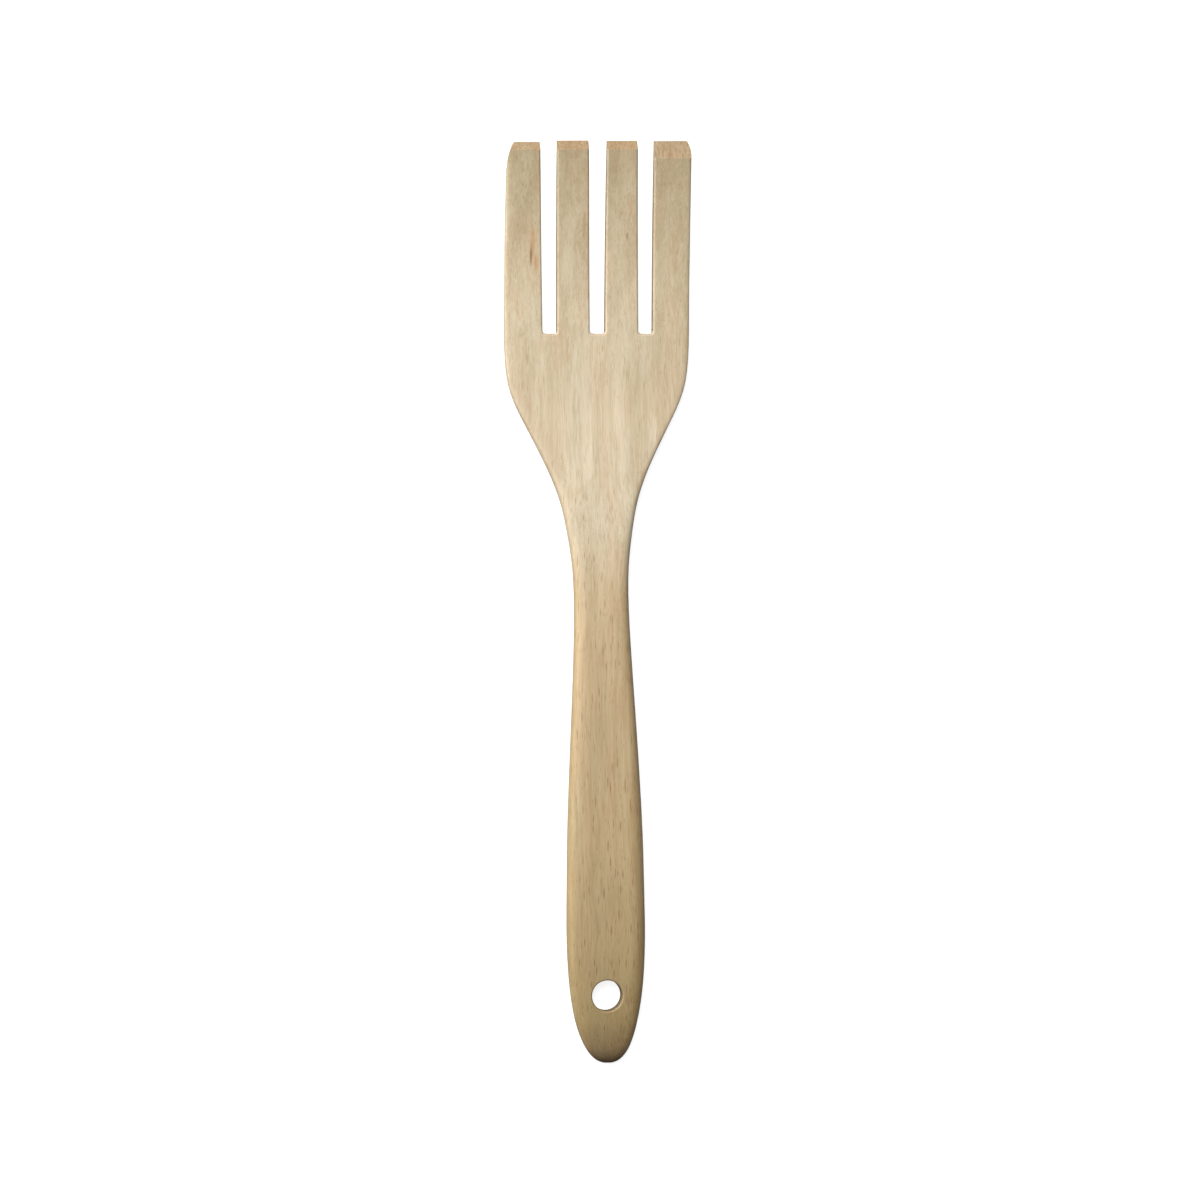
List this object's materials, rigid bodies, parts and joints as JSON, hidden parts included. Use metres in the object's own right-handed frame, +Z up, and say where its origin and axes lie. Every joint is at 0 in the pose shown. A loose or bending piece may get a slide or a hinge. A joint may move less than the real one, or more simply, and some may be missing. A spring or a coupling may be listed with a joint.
{
  "type": "wooden cooking fork",
  "caption": "One-piece beech cooking fork: a flat, upturned head slotted into square-ended tines, a slim neck and a rounded handle with a hang hole.",
  "frame": {"origin": "middle of the footprint, on the surface that the fork lies on, on its back", "axes": "+Y along the fork towards the tine tips, +Z up out of its face, +X across it to the right as seen from above with the tines up"},
  "size_m": [0.061, 0.3, 0.0216],
  "materials": {
    "beech": "fine-sanded, bare"
  },
  "bodies": {
    "root": {"fork_body": "beech"}
  },
  "joints": []
}
